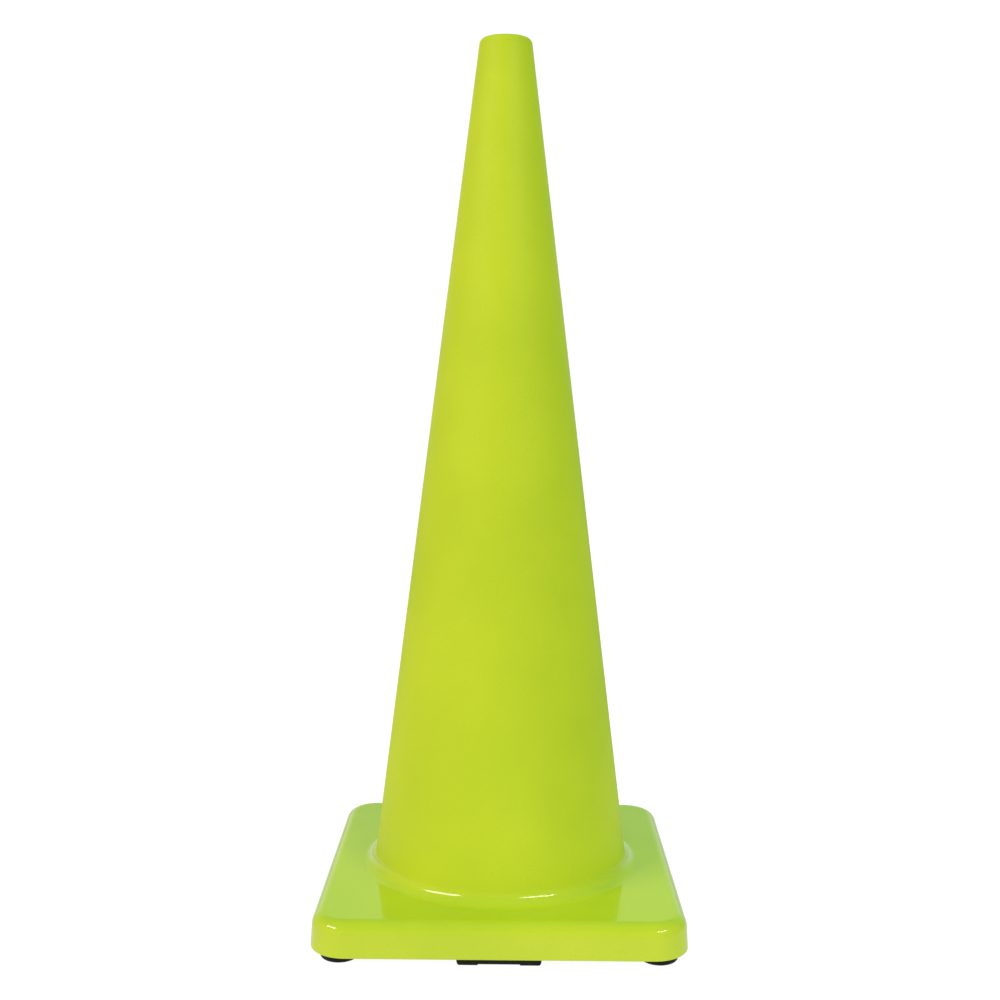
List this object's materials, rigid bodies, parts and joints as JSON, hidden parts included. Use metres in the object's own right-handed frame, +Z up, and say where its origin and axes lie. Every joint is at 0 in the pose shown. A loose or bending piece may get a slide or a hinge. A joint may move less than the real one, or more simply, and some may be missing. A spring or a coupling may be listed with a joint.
{
  "type": "traffic cone",
  "caption": "Tall plain traffic cone with a square weighted base: a thin hollow lime moulding over a black ballast ring that stands on black rubber feet.",
  "frame": {"origin": "on the ground, on the cone's axis, at the bottom centre of the object", "axes": "+Z up along the cone's axis, X and Y square to the base's sides, -Y the front"},
  "size_m": [0.3734, 0.3734, 0.9144],
  "materials": {
    "lime_pvc": "smooth glossy flexible PVC, fluorescent lime, faint moulding mottle",
    "black_recycled_pvc": "rough recycled PVC ballast, matt, flecked",
    "black_rubber": "smooth satin black rubber"
  },
  "bodies": {
    "root": {"cone_skin": "lime_pvc", "base_weight": "black_recycled_pvc", "foot_front_left": "black_rubber", "foot_front_right": "black_rubber", "foot_back_left": "black_rubber", "foot_back_right": "black_rubber", "foot_bar_front": "black_rubber", "foot_bar_right": "black_rubber", "foot_bar_back": "black_rubber", "foot_bar_left": "black_rubber"}
  },
  "joints": []
}
